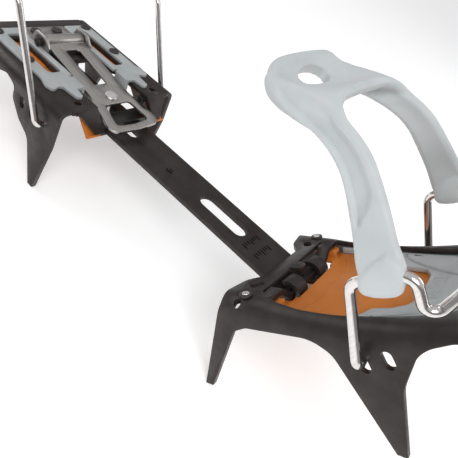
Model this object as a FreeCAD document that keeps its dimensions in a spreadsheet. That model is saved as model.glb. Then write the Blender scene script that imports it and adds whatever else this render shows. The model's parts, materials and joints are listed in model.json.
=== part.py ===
"""Strap-on crampon: a front section and a heel section joined by a hooked linking bar.

Row frame, millimetres: +X to the wearer's right, +Y towards the toe, +Z up. The origin is on the floor
under the middle of the bounding box. The crampon stands on the four heel spikes and the two rear spikes
of the front section, and the front section is pitched up about its hooks.
Each section is drawn in its own flat frame and then placed:
  front frame  origin in the middle of the rear edge, z = 0 just under the frame's top skin
  bar frame    origin on the hook axis, y towards the toe
  heel frame   origin in the middle of the plate's front edge, z = 0 on the plate's top
"""
import FreeCAD, Part
import Sketcher
import math
import os

os.makedirs("parts", exist_ok=True)
doc = FreeCAD.newDocument("Crampon")
V = FreeCAD.Vector
X_AXIS = V(1, 0, 0)

# ---------------------------------------------------------------- driving dimensions
DIMENSIONS = [
    ("steel", 2.6, "thickness of both stamped frames"),
    ("stanceTilt", 3.56, "pitch of the heel and the bar on the floor, degrees"),
    ("hookAngle", 38.3, "pitch of the front section over the bar, degrees"),
    ("originShift", 68.85, "hook axis forward of the row's origin"),
    ("hookHeight", 55.68, "hook axis above the floor"),
    ("frontTop", 3.5, "top skin of the front frame above its z = 0"),
    ("frontHalf", 42.0, "half width of the front frame over its walls"),
    ("frontBend", 9.0, "outer radius between top skin and wall"),
    ("rockerRadius", 250.0, "curve of the front frame's toe half, seen from the side"),
    ("rockerStart", 32.0, "lowest place of the front frame's top, where the rocker starts"),
    ("spikeDepth", 50.0, "depth of the front section's walls before the spikes are cut"),
    ("hookAxisY", 18.5, "hook axis in the front frame"),
    ("hookAxisZ", -4.0, "hook axis in the front frame, height"),
    ("bridgeWidth", 6.0, "pressed bridge that the hooks turn on"),
    ("hookInner", 4.0, "inner radius of the bar's hooks"),
    ("barThick", 2.4, "thickness of the linking bar"),
    ("barHalf", 13.0, "half width of the linking bar"),
    ("barLength", 228.0, "linking bar behind the hook axis"),
    ("barSlot", 9.0, "width of the front slot in the bar"),
    ("heelBack", 139.1, "front edge of the heel plate behind the hook axis"),
    ("heelRise", 9.5, "top of the heel plate above the hook axis"),
    ("heelLength", 88.0, "length of the heel plate"),
    ("heelHalf", 41.5, "half width of the heel frame over its walls"),
    ("heelBend", 6.0, "outer radius between heel plate and wall"),
    ("heelDepth", 58.0, "depth of the heel walls before the spikes are cut"),
    ("frontWire", 2.0, "radius of the front bail wire"),
    ("rearWire", 1.75, "radius of the rear bail wire"),
    ("runningGap", 0.06, "radial clearance of every pin that turns"),
    ("leverThick", 1.6, "thickness of the adjustment lever"),
    ("leverPin", 2.0, "radius of the lever's pivot pin"),
    ("lockPin", 2.5, "radius of the locking pin"),
    ("padThick", 1.6, "wall of the antiballing plates"),
    ("strapThick", 5.0, "thickness of the harness legs"),
]
sheet = doc.addObject("Spreadsheet::Sheet", "Dimensions")
for row, (alias, value, note) in enumerate(DIMENSIONS, start=1):
    sheet.set(f"A{row}", note)
    sheet.set(f"B{row}", str(value))
    sheet.setAlias(f"B{row}", alias)
doc.recompute()


def dim(alias):
    return float(sheet.get(alias))


# ---------------------------------------------------------------- placements of the sections
def section_placement(pivot, angle):
    """Puts a section's pivot on the hook axis and pitches it by angle, toe up."""
    turn = FreeCAD.Rotation(X_AXIS, angle)
    hook = V(0, dim("originShift"), dim("hookHeight"))
    return FreeCAD.Placement(hook - turn.multVec(pivot), turn)


BAR_PLACE = section_placement(V(0, 0, 0), dim("stanceTilt"))
HEEL_PLACE = section_placement(V(0, dim("heelBack"), -dim("heelRise")), dim("stanceTilt"))
FRONT_PLACE = section_placement(V(0, dim("hookAxisY"), dim("hookAxisZ")), dim("stanceTilt") + dim("hookAngle"))

made = []


# ---------------------------------------------------------------- drawing helpers
def corner_arcs(points):
    """Closed outline from (u, v) or (u, v, corner radius) points, as line and arc geometry."""
    ends = []
    count = len(points)
    for i, point in enumerate(points):
        here = V(point[0], point[1], 0)
        radius = point[2] if len(point) > 2 else 0
        before = V(*points[i - 1][:2], 0) - here
        after = V(*points[(i + 1) % count][:2], 0) - here
        if radius == 0:
            ends.append((here, None, here))
            continue
        half = before.getAngle(after) / 2
        reach = min(radius / math.tan(half), 0.49 * before.Length, 0.49 * after.Length)
        radius = reach * math.tan(half)
        before.normalize()
        after.normalize()
        middle = (before + after).normalize()
        apex = here + middle * (radius / math.sin(half) - radius)
        ends.append((here + before * reach, apex, here + after * reach))
    geometry = []
    for i, (start, apex, end) in enumerate(ends):
        if apex is not None:
            geometry.append(Part.Arc(start, apex, end))
        following = ends[(i + 1) % count][0]
        if end.distanceToPoint(following) > 1e-6:
            geometry.append(Part.LineSegment(end, following))
    return geometry


def mirrored(half):
    """Closes an outline about the section's middle plane from its +X half."""
    return half + [(-p[0],) + tuple(p[1:]) for p in reversed(half) if abs(p[0]) > 1e-9]


def add_sketch(body, plane, name, outlines=(), circles=(), offset=0):
    """Sketch on one of the body's own origin planes; each circle's radius is bound to the sheet."""
    sketch = body.newObject("Sketcher::SketchObject", name)
    origin = next(o for o in body.Origin.OriginFeatures if o.Role == plane)
    sketch.AttachmentSupport = [(origin, "")]
    sketch.MapMode = "FlatFace"
    sketch.AttachmentOffset = FreeCAD.Placement(V(0, 0, offset), FreeCAD.Rotation())
    for outline in outlines:
        geometry = corner_arcs(outline) if isinstance(outline[0], tuple) else outline
        for curve in geometry:
            sketch.addGeometry(curve, False)
    for number, (u, v, radius) in enumerate(circles):
        expression = radius if isinstance(radius, str) else None
        size = 1.0 if expression else radius
        index = sketch.addGeometry(Part.Circle(V(u, v, 0), V(0, 0, 1), size), False)
        if expression:
            constraint = sketch.addConstraint(Sketcher.Constraint("Radius", index, size))
            sketch.renameConstraint(constraint, f"bore{number}")
            sketch.setExpression(f"Constraints.bore{number}", expression)
    return sketch


def pad(body, sketch, length, both=True, reverse=False):
    feature = body.newObject("PartDesign::Pad", sketch.Name + "Pad")
    return set_length(feature, sketch, length, both, reverse)


def pocket(body, sketch, length, both=True, reverse=False):
    """Cuts, then checks that material really went."""
    doc.recompute()
    before = body.Shape.Volume
    feature = body.newObject("PartDesign::Pocket", sketch.Name + "Cut")
    set_length(feature, sketch, length, both, reverse)
    doc.recompute()
    if not body.Shape.Volume < before - 0.01:
        raise SystemExit(f"{feature.Name} cut nothing")
    return feature


def set_length(feature, sketch, length, both, reverse):
    feature.Profile = sketch
    feature.SideType = "Symmetric" if both else "One side"
    feature.Reversed = reverse
    if isinstance(length, str):
        feature.setExpression("Length", length)
    else:
        feature.Length = length
    return feature


def new_body(label, placement):
    body = doc.addObject("PartDesign::Body", label)
    body.Label = label
    body.Placement = placement
    made.append(body)
    return body


def solid_feature(label, shape, placement):
    """For bent wire and lofted soft parts, which no sketch-based feature draws."""
    feature = doc.addObject("Part::Feature", label)
    feature.Label = label
    feature.Shape = shape
    feature.Placement = placement
    made.append(feature)
    return feature


def bent_path(points):
    """Straight runs joined by tangent arcs; each inner point is (x, y, z, bend radius)."""
    edges = []
    start = V(*points[0][:3])
    for i in range(1, len(points) - 1):
        corner = V(*points[i][:3])
        before = (V(*points[i - 1][:3]) - corner)
        after = (V(*points[i + 1][:3]) - corner)
        half = before.getAngle(after) / 2
        radius = points[i][3]
        reach = radius / math.tan(half)
        before.normalize()
        after.normalize()
        first = corner + before * reach
        last = corner + after * reach
        middle = corner + (before + after).normalize() * (radius / math.sin(half) - radius)
        if start.distanceToPoint(first) > 1e-6:
            edges.append(Part.LineSegment(start, first).toShape())
        edges.append(Part.Arc(first, middle, last).toShape())
        start = last
    edges.append(Part.LineSegment(start, V(*points[-1][:3])).toShape())
    return Part.Wire(edges)


def swept(points, section_at):
    """Solid of one closed section carried along a bent path."""
    path = bent_path(points)
    start = V(*points[0][:3])
    direction = (V(*points[1][:3]) - start).normalize()
    shape = path.makePipeShell([section_at(start, direction)], True, False)
    return shape


def bent_wire(points, radius):
    def ring(start, direction):
        return Part.Wire(Part.Circle(start, direction, radius).toShape())
    shape = swept(points, ring)
    length = bent_path(points).Length
    expected = length * math.pi * radius ** 2
    if abs(shape.Volume - expected) > 0.01 * expected:
        raise SystemExit(f"wire volume {shape.Volume:.0f}, expected {expected:.0f}")
    return shape


def mirror_x(shape):
    return shape.mirror(V(0, 0, 0), X_AXIS)


# ---------------------------------------------------------------- front section
DIP_RADIUS = 120.0  # both curves of the dip between the rear cross-member and the rocker
DIP_RUN = 9.0       # length of each of those curves


def rocker_rise(y):
    """How far the front frame has risen at y, compared with its rear cross-member."""
    into_dip = min(max(y - (dim("rockerStart") - 2 * DIP_RUN), 0.0), 2 * DIP_RUN)
    if into_dip < DIP_RUN:
        drop = into_dip ** 2 / (2 * DIP_RADIUS)
    else:
        drop = (DIP_RUN ** 2 - (2 * DIP_RUN - into_dip) ** 2 / 2) / DIP_RADIUS
    return max(0.0, y - dim("rockerStart")) ** 2 / (2 * dim("rockerRadius")) - drop


SPLAY = 3.4         # degrees that the front walls lean out
TOE_BEND_Y = 105.0  # where the frame starts to bend down towards the points
TOE_BEND_R = 62.0
TOE_BEND_ANGLE = 40.0
POINT_RUN = 30.0    # straight run of the front points


def wall_profile(half, bend, top, depth, thick, splay):
    """Inverted U of a stamped frame: flat skin, bend, and walls that lean out by splay degrees."""
    lean = math.tan(math.radians(splay))
    flat = half - bend
    low = top - bend
    turn = math.radians(45)
    outer = [V(flat, top, 0), V(flat + bend * math.sin(turn), low + bend * math.cos(turn), 0), V(half, low, 0)]
    inner_bend = bend - thick
    inner = [V(half - thick, low, 0), V(flat + inner_bend * math.sin(turn), low + inner_bend * math.cos(turn), 0),
             V(flat, top - thick, 0)]
    foot = V(half + lean * depth, low - depth, 0)
    inner_foot = V(half - thick + lean * depth, low - depth, 0)

    def flip(p):
        return V(-p.x, p.y, 0)
    lines = [
        Part.LineSegment(flip(outer[0]), outer[0]), Part.Arc(*outer), Part.LineSegment(outer[2], foot),
        Part.LineSegment(foot, inner_foot), Part.LineSegment(inner_foot, inner[0]), Part.Arc(*inner),
        Part.LineSegment(inner[2], flip(inner[2])),
        Part.Arc(*[flip(p) for p in reversed(inner)]), Part.LineSegment(flip(inner[0]), flip(inner_foot)),
        Part.LineSegment(flip(inner_foot), flip(foot)), Part.LineSegment(flip(foot), flip(outer[2])),
        Part.Arc(*[flip(p) for p in reversed(outer)]),
    ]
    return lines


def rocker_spine(start_y, first_z):
    """Side line of the front frame: flat, dip, rocker, bend down to the points, straight run."""
    radius = dim("rockerRadius")
    dip_angle = math.asin(DIP_RUN / DIP_RADIUS)
    half_drop = DIP_RADIUS * (1 - math.cos(dip_angle))
    flat_end = V(dim("rockerStart") - 2 * DIP_RUN, first_z, 0)
    halfway = flat_end + V(DIP_RUN, -half_drop, 0)
    start = halfway + V(DIP_RUN, -half_drop, 0)
    half_run = DIP_RADIUS * math.sin(dip_angle / 2)
    sag = DIP_RADIUS * (1 - math.cos(dip_angle / 2))
    slope = math.asin((TOE_BEND_Y - dim("rockerStart")) / radius)

    def on_rocker(angle):
        return start + V(radius * math.sin(angle), radius * (1 - math.cos(angle)), 0)
    crest = on_rocker(slope)
    hub = crest + V(TOE_BEND_R * math.sin(slope), -TOE_BEND_R * math.cos(slope), 0)

    def on_bend(turned):
        angle = slope - math.radians(turned)
        return hub + V(-TOE_BEND_R * math.sin(angle), TOE_BEND_R * math.cos(angle), 0)
    end = on_bend(TOE_BEND_ANGLE)
    heading = slope - math.radians(TOE_BEND_ANGLE)
    tip = end + V(math.cos(heading), math.sin(heading), 0) * POINT_RUN
    return [
        Part.LineSegment(V(start_y, first_z, 0), flat_end),
        Part.Arc(flat_end, flat_end + V(half_run, -sag, 0), halfway),
        Part.Arc(halfway, start + V(-half_run, sag, 0), start),
        Part.Arc(start, on_rocker(slope / 2), crest),
        Part.Arc(crest, on_bend(TOE_BEND_ANGLE / 2), end),
        Part.LineSegment(end, tip),
    ]


WIRE_HOLE = (65.0, -8.4)      # front bail pivot, (y, z) in the front frame
SPARE_HOLE = (74.6, -5.5)     # second fitting hole, one place forward
HOLE_LEAN = 25.0              # degrees that both holes lean from upright
HOLE_LONG = 7.4
RIVET_AT = (34.6, 9.3)


def slanted_slot(y, z, width, length, lean):
    """Round-ended hole in a wall, its length leaning forward by lean degrees from upright."""
    along = V(-math.sin(math.radians(lean)), math.cos(math.radians(lean)), 0)
    across = V(along.y, -along.x, 0)
    centre = V(y, z, 0)
    straight = along * ((length - width) / 2)
    side = across * (width / 2)
    cap = along * (width / 2)
    top, low = centre + straight, centre - straight
    return [
        Part.LineSegment(low + side, top + side), Part.Arc(top + side, top + cap, top - side),
        Part.LineSegment(top - side, low - side), Part.Arc(low - side, low - cap, low + side),
    ]


def front_frame():
    body = new_body("front_frame", FRONT_PLACE)
    start_y = -22.0
    profile = add_sketch(body, "XZ_Plane", "FrontProfile", [
        wall_profile(dim("frontHalf"), dim("frontBend"), dim("frontTop"), dim("spikeDepth"), dim("steel"), SPLAY)],
        offset=-start_y)
    spine = add_sketch(body, "YZ_Plane", "FrontSpine", [rocker_spine(start_y, dim("frontTop"))])
    pipe = body.newObject("PartDesign::AdditivePipe", "FrontPipe")
    pipe.Profile = profile
    pipe.Spine = spine
    doc.recompute()

    # Side view: everything under the wall's lower edge goes, except the spikes.
    lower_edge = [
        (-60, 30), (-1.6, 30), (-1.6, 0, 6), (-17.2, -46.8), (-12.6, -46.8), (5.0, -12.0, 7), (12.0, -8.6, 6),
        (44.0, -5.4, 30), (53.0, -9.6, 12), (77.5, -45.0), (81.5, -45.0), (79.8, -16.0, 16), (85.0, 1.5, 12),
        (98.0, 8.0, 10), (108.0, 4.0, 10), (131.0, -22.0), (134.0, -20.0), (130.0, 5.0, 8), (150.0, 5.0),
        (190, -14), (190, -140), (-60, -140)]
    pocket(body, add_sketch(body, "YZ_Plane", "SpikeOutline", [lower_edge]), 220)

    # Plan view: rear recess over the bar, the large opening, and the two front points.
    far = 70
    outside = mirrored([(0, 7.2), (16.0, 7.2, 6), (22.0, 1.0, 10), (34.0, -1.6), (34.0, -40), (0, -40)])
    pocket(body, add_sketch(body, "XY_Plane", "RearOutline", [outside]), 16)
    opening = mirrored([(0, 14.0), (28.5, 14.0, 2), (32.2, 18.5, 3), (34.0, 24.0, 10), (35.3, 36.0, 40),
                        (34.6, 53.0, 40), (32.0, 70.0, 40), (28.6, 90.0, 20), (15.0, 108.0, 8), (0, 110.0)])
    pocket(body, add_sketch(body, "XY_Plane", "Opening", [opening]), 90)
    for side in (1, -1):
        trim = [(side * u, v, r) for u, v, r in [
            (far, 118, 0), (44.0, 124.0, 4), (30.0, 136.0, 12), (22.5, 170.0, 0), (19.0, 186.0, 0), (far, 186.0, 0)]]
        pocket(body, add_sketch(body, "XY_Plane", f"PointOuter{side + 1}", [trim]), 200)
    between = mirrored([(0, 127.0), (8.0, 129.0, 8), (15.5, 170.0), (19.0, 186.0), (0, 186.0)])
    pocket(body, add_sketch(body, "XY_Plane", "PointGap", [between]), 200)

    # The tongue between the hooks, and the pressed bridge that they turn on.
    tongue = mirrored([(0, 12.0), (4.0, 12.0), (2.6, 19.5, 1.2), (0, 20.0)])
    skin = add_sketch(body, "XY_Plane", "Tongue", [tongue], offset=dim("frontTop") - dim("steel"))
    pad(body, skin, "Dimensions.steel", both=False)
    half_steel = dim("steel") / 2
    axis_z = dim("hookAxisZ")
    sunk = 0.15
    skin_z = dim("frontTop") - half_steel - sunk
    bridge = mirrored([(0, axis_z - half_steel), (18.3, axis_z - half_steel, 2), (24.6, skin_z - half_steel, 1),
                       (34.4, skin_z - half_steel), (34.4, skin_z + half_steel), (23.4, skin_z + half_steel, 2),
                       (17.1, axis_z + half_steel, 1), (0, axis_z + half_steel)])
    low_y = dim("hookAxisY") - dim("bridgeWidth") / 2
    lip = add_sketch(body, "XZ_Plane", "Bridge", [bridge], offset=-low_y)
    pad(body, lip, "Dimensions.bridgeWidth", both=False, reverse=True)

    # Holes: rivets, drain slots, corner holes, bail pivot and the spare bail hole.
    for side in (1, -1):
        x, y = RIVET_AT
        pocket(body, add_sketch(body, "XY_Plane", f"RivetHole{side + 1}", circles=[(side * x, y, 2.0)]), 20)
        slot = slanted_slot(side * 24.6, 8.7, 4.2, 7.0, side * 55)
        pocket(body, add_sketch(body, "XY_Plane", f"DrainSlot{side + 1}", [slot]), 20)
        pocket(body, add_sketch(body, "XY_Plane", f"CornerHole{side + 1}", circles=[(side * 38.6, 7.0, 1.9)]), 20)
    y, z = WIRE_HOLE
    width = 2 * (dim("frontWire") + dim("runningGap"))
    travel = (HOLE_LONG - width) / 2
    lean = math.radians(HOLE_LEAN)
    hole = slanted_slot(y + travel * math.sin(lean), z - travel * math.cos(lean), width, HOLE_LONG, HOLE_LEAN)
    pocket(body, add_sketch(body, "YZ_Plane", "WireHole", [hole]), 120)
    y, z = SPARE_HOLE
    pocket(body, add_sketch(body, "YZ_Plane", "SpareHole", [slanted_slot(y, z, 4.4, HOLE_LONG, HOLE_LEAN)]), 120)
    return body


def plate_arc(y_from, y_to, top_z, thick):
    """Side profile of a plate that follows the rocker: top_z is its top at the start of the rocker."""
    def at(y, drop):
        return V(y, top_z + rocker_rise(y) - drop, 0)
    mid = (y_from + y_to) / 2
    return [
        Part.Arc(at(y_from, 0), at(mid, 0), at(y_to, 0)), Part.LineSegment(at(y_to, 0), at(y_to, thick)),
        Part.Arc(at(y_to, thick), at(mid, thick), at(y_from, thick)),
        Part.LineSegment(at(y_from, thick), at(y_from, 0)),
    ]


TRAY_TOP = -2.9     # top of the orange plate where the front frame is flat
EAR_TOP = 0.25      # top of the orange plate's ears, under the corner rivets


def front_antiball_tray():
    """Orange plate under the opening, dipping into a trough under the hooks."""
    body = new_body("front_antiball_tray", FRONT_PLACE)
    thick = dim("padThick")
    pad(body, add_sketch(body, "YZ_Plane", "TrayPlate", [plate_arc(15.0, 104.0, TRAY_TOP, thick)]), 66)
    far = 60
    clear = mirrored([(0, 5.0), (22.3, 5.0), (22.3, 24.6, 2), (17.6, 24.6), (17.6, 26.0), (0, 26.0)])
    pocket(body, add_sketch(body, "XY_Plane", "TrayHookGap", [clear]), 40)
    corner = [(far, 56), (33.0, 58.0, 8), (23.0, 82.0, 8), (12.0, 120.0), (far, 120.0)]
    pocket(body, add_sketch(body, "XY_Plane", "TrayToeR", [corner]), 60)
    pocket(body, add_sketch(body, "XY_Plane", "TrayToeL", [[(-p[0],) + tuple(p[1:]) for p in corner]]), 60)
    trough = [(8.0, -14.6), (25.2, -14.6, 2), (28.8, -4.8), (28.8, -3.5), (27.0, -3.5), (23.9, -13.0, 1),
              (8.0, -13.0)]
    pad(body, add_sketch(body, "YZ_Plane", "Trough", [trough]), 35.2)
    tray_low = TRAY_TOP - thick
    for side in (1, -1):
        ear = [(side * u, v, r) for u, v, r in [(26.4, 4.5, 0), (35.6, 4.5, 3), (35.6, 14.0, 3), (31.5, 24.0, 2),
                                                (26.4, 24.0, 0)]]
        flat = add_sketch(body, "XY_Plane", f"Ear{side + 1}", [ear], offset=EAR_TOP - thick)
        pad(body, flat, "Dimensions.padThick", both=False)
        step = [(side * 26.4, 15.2), (side * 28.0, 15.2), (side * 28.0, 24.0), (side * 26.4, 24.0)]
        wall = add_sketch(body, "XY_Plane", f"EarStep{side + 1}", [step], offset=tray_low)
        pad(body, wall, EAR_TOP - tray_low, both=False)
        ear_hole = [(side * RIVET_AT[0], RIVET_AT[1], 2.0)]
        pocket(body, add_sketch(body, "XY_Plane", f"EarHole{side + 1}", circles=ear_hole), 6)
    return body


def front_antiball_frame():
    """Grey plate over the toe part of the tray: rims along the rails, and a rear edge cut to a wide chevron."""
    body = new_body("front_antiball_frame", FRONT_PLACE)
    rim_top = dim("frontTop") - dim("steel") - 0.8
    rims = add_sketch(body, "YZ_Plane", "Flange", [plate_arc(25.0, 105.0, rim_top, 2.9)])
    pad(body, rims, 72)
    inside = mirrored([(0, 0.0), (32.4, 0.0), (33.6, 34.0, 30), (33.0, 54.0, 30), (30.6, 68.0), (26.0, 94.0),
                       (14.0, 120.0), (0, 120.0)])
    pocket(body, add_sketch(body, "XY_Plane", "FlangeInside", [inside]), 60)
    pad(body, add_sketch(body, "YZ_Plane", "GreyPlate", [plate_arc(25.0, 105.0, -0.4, 2.17)]), 71)
    window = mirrored([(0, 10.0), (32.4, 10.0), (33.6, 34.0, 30), (32.0, 51.0, 10), (27.0, 57.6, 4), (20.4, 61.0, 2),
                       (17.8, 72.2, 2), (11.7, 75.3, 3), (0, 75.8)])
    pocket(body, add_sketch(body, "XY_Plane", "Chevron", [window]), 60)
    far = 60
    corner = [(far, 62), (35.5, 66.0), (31.5, 92.0, 20), (18.0, 120.0), (far, 120.0)]
    pocket(body, add_sketch(body, "XY_Plane", "GreyToeR", [corner]), 60)
    pocket(body, add_sketch(body, "XY_Plane", "GreyToeL", [[(-p[0],) + tuple(p[1:]) for p in corner]]), 60)
    return body


def group_of_rivets(label, places, grip_top, grip_low, placement):
    """Rivets: a low domed head above the skin, a shank, and a foot below."""
    head_radius, head_high, shank_radius = 3.1, 0.9, 2.0
    solids = []
    for x, y in places:
        head = Part.makeCylinder(head_radius, head_high, V(x, y, grip_top))
        head = head.makeFillet(0.5, [head.Edges[0]])
        shank = Part.makeCylinder(shank_radius, grip_top - grip_low, V(x, y, grip_low))
        foot = Part.makeCylinder(head_radius, head_high, V(x, y, grip_low - head_high))
        solids.append(head.fuse([shank, foot]).removeSplitter())
    return solid_feature(label, Part.makeCompound(solids), placement)


# ---------------------------------------------------------------- linking bar
def linking_bar():
    """Flat strip with a long slot, rolled into two open hooks at its front end."""
    body = new_body("linking_bar", BAR_PLACE)
    top = -dim("hookInner")
    low = top - dim("barThick")
    length = dim("barLength")
    half = dim("barHalf")
    strip = mirrored([(0, 0), (15.0, 0), (15.0, -9.0, 3), (half, -14.0, 6), (half, -length, 4), (0, -length)])
    pad(body, add_sketch(body, "XY_Plane", "Strip", [strip], offset=low), "Dimensions.barThick", both=False)
    inner, outer = dim("hookInner"), dim("hookInner") + dim("barThick")
    turn = math.radians(150)

    def polar(radius, angle):
        return V(radius * math.cos(angle), radius * math.sin(angle), 0)
    start = math.radians(-90)
    middle = (start + turn) / 2
    curl = [
        Part.Arc(polar(outer, start), polar(outer, middle), polar(outer, turn)),
        Part.LineSegment(polar(outer, turn), polar(inner, turn)),
        Part.Arc(polar(inner, turn), polar(inner, middle), polar(inner, start)),
        Part.LineSegment(polar(inner, start), V(-4, top, 0)), Part.LineSegment(V(-4, top, 0), V(-4, low, 0)),
        Part.LineSegment(V(-4, low, 0), polar(outer, start)),
    ]
    for side, offset in (("R", 11.0), ("L", -11.0)):
        pad(body, add_sketch(body, "YZ_Plane", f"Hook{side}", [curl], offset=offset), 8.0)
    gap = mirrored([(0, -3.5), (7.0, -3.5, 2), (7.0, 3), (0, 3)])
    pocket(body, add_sketch(body, "XY_Plane", "HookGap", [gap]), 40)
    slot = dim("barSlot")
    pocket(body, add_sketch(body, "XY_Plane", "FrontSlot", [slanted_slot(0, -53.5, slot, 32.0, 0)]), 40)
    pocket(body, add_sketch(body, "XY_Plane", "LengthSlot", [slanted_slot(0, -150.0, 5.6, 52.0, 0)]), 40)
    return body


# ---------------------------------------------------------------- heel section
# (y, z) in the heel frame; the bail is in the first
REAR_HOLES = [(-11.8, -14.2), (-21.9, -13.6), (-30.5, -13.0)]
HEEL_SPLAY = 5.0
LEVER_PIVOT = (-58.0, 4.0)
LEVER_DIP = 9.46      # degrees that the closed lever slopes down towards its tip
LOCK_AT = -11.0       # locking pin, y in the heel frame
LOCK_ALONG = (LOCK_AT - LEVER_PIVOT[0]) / math.cos(math.radians(LEVER_DIP))   # the same, along the lever
HEEL_RIVETS = [(-29.6, -46.0), (29.6, -46.0), (-29.6, -75.0), (29.6, -75.0)]
BRACKET_RIVETS = [(-7.0, -73.5), (7.0, -73.5)]


def heel_frame():
    body = new_body("heel_frame", HEEL_PLACE)
    profile = add_sketch(body, "XZ_Plane", "HeelProfile", [
        wall_profile(dim("heelHalf"), dim("heelBend"), 0.0, dim("heelDepth"), dim("steel"), HEEL_SPLAY)])
    pad(body, profile, "Dimensions.heelLength", both=False)
    half_bottom = 23.0
    apron = [(-3.0, 0, 1), (-0.5, 0, 2), (8.4, -11.0), (6.4, -12.6), (-2.4, -2.6), (-3.0, -2.6)]
    pad(body, add_sketch(body, "YZ_Plane", "Apron", [apron]), 62)
    edge = [(half_bottom, -20), (half_bottom, -12.0, 1), (30.5, -2.8), (35.0, -2.8), (35.0, -20)]
    pocket(body, add_sketch(body, "XZ_Plane", "ApronEdgeR", [edge], offset=-12), 13, both=False, reverse=True)
    pocket(body, add_sketch(body, "XZ_Plane", "ApronEdgeL", [[(-u[0],) + tuple(u[1:]) for u in edge]], offset=-12), 13,
           both=False, reverse=True)
    lower_edge = [
        (0.0, 3), (-1.2, -5.0, 2), (-3.0, -24.0), (-10.0, -56.0), (-14.0, -55.8), (-21.5, -29.0, 8), (-31.0, -23.5, 4),
        (-38.5, -15.0, 3), (-38.5, -8.0, 3), (-46.0, -5.0, 4), (-56.0, -8.0, 6), (-61.0, -20.0, 8), (-76.0, -51.8),
        (-80.0, -51.6), (-84.0, -20.0, 8), (-86.0, -6.0, 4), (-88.0, 3), (-110, 3), (-110, -80), (30, -80), (30, 3)]
    for side in (1, -1):
        copy = add_sketch(body, "YZ_Plane", f"HeelSpikes{side + 1}", [lower_edge], offset=side * 46)
        pocket(body, copy, 24)
    cut = mirrored([(0, 20), (18.5, 20), (18.5, -28.0, 3), (14.6, -31.0, 2), (14.6, -44.0, 3), (0, -44.0)])
    pocket(body, add_sketch(body, "XY_Plane", "LeverWindow", [cut]), 40)
    for side, sign in (("R", 1), ("L", -1)):
        window = [(sign * x, y, 2) for x, y in ((19.4, -70.0), (25.2, -70.0), (25.2, -34.0), (19.4, -34.0))]
        pocket(body, add_sketch(body, "XY_Plane", f"PlateWindow{side}", [window]), 40)
    for number, (y, z) in enumerate(REAR_HOLES):
        name = f"RearHole{number}"
        if number == 0:
            hole = add_sketch(body, "YZ_Plane", name,
                              circles=[(y, z, "Dimensions.rearWire + Dimensions.runningGap")])
        else:
            hole = add_sketch(body, "YZ_Plane", name, [slanted_slot(y, z, 3.9, 6.6, 8)])
        pocket(body, hole, 120)
    holes = [(x, y, 2.0) for x, y in HEEL_RIVETS + BRACKET_RIVETS]
    pocket(body, add_sketch(body, "XY_Plane", "HeelRivetHoles", circles=holes), 20)
    pocket(body, add_sketch(body, "XY_Plane", "HeelCornerHoles",
                            circles=[(27.0, -6.0, 2.0), (-27.0, -6.0, 2.0)]), 12)
    return body


def heel_antiball_tray():
    """Orange plate under the heel plate, showing as a strip along its front edge."""
    body = new_body("heel_antiball_tray", HEEL_PLACE)
    thick = dim("padThick")
    outline = mirrored([(0, -46.0), (20.0, -46.0, 2), (20.0, -3.6), (33.0, -3.6, 3), (33.0, -84.0, 8), (0, -84.0)])
    pad(body, add_sketch(body, "XY_Plane", "TrayOutline", [outline], offset=-dim("steel") - thick), thick, both=False)
    lip = [(-4.0, -2.6), (-2.6, -2.75), (6.2, -12.9), (7.6, -11.8), (8.2, -12.6), (6.0, -14.4), (-4.0, -4.2)]
    for side, offset in (("R", 24.0), ("L", -24.0)):
        pad(body, add_sketch(body, "YZ_Plane", f"TrayLip{side}", [lip], offset=offset), 8.0)
    holes = [(x, y, 2.0) for x, y in HEEL_RIVETS + BRACKET_RIVETS]
    pocket(body, add_sketch(body, "XY_Plane", "TrayHoles", circles=holes), 20)
    return body


def heel_antiball_frame():
    """Grey frame on top of the heel plate: two prongs on each side, and a band that dips under the lever."""
    body = new_body("heel_antiball_frame", HEEL_PLACE)
    thick = dim("padThick")
    half_plan = [(14.8, -78.0, 2), (33.0, -78.0, 4), (33.0, -30.0, 3), (35.0, -23.0, 1.8), (33.6, -17.6, 1.8),
                 (27.0, -21.0, 2), (25.6, -9.0, 2), (21.8, -8.0, 1.8), (20.4, -16.0, 1), (17.0, -16.0), (17.0, -28.6),
                 (14.8, -28.6)]
    inner = [(18.5, -72.0, 2), (26.4, -72.0, 2), (26.4, -32.0, 3), (18.5, -32.0, 2)]
    for side, sign in (("R", 1), ("L", -1)):
        outline = [(sign * p[0],) + tuple(p[1:]) for p in half_plan]
        window = [(sign * p[0],) + tuple(p[1:]) for p in inner]
        pad(body, add_sketch(body, "XY_Plane", f"Prongs{side}", [outline]), "Dimensions.padThick", both=False)
        pocket(body, add_sketch(body, "XY_Plane", f"Window{side}", [window]), 8)
    dip = mirrored([(0, -8.0), (17.0, -8.0, 2), (17.0, thick), (14.8, thick), (14.8, -6.0, 1.5), (0, -6.0)])
    pad(body, add_sketch(body, "XZ_Plane", "Band", [dip], offset=16.4), 10.0, both=False)
    holes = [(x, y, 2.0) for x, y in HEEL_RIVETS]
    pocket(body, add_sketch(body, "XY_Plane", "FrameHoles", circles=holes), 8)
    return body


GUIDE_CLEAR = 0.3     # gap between the bar and its guides


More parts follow.
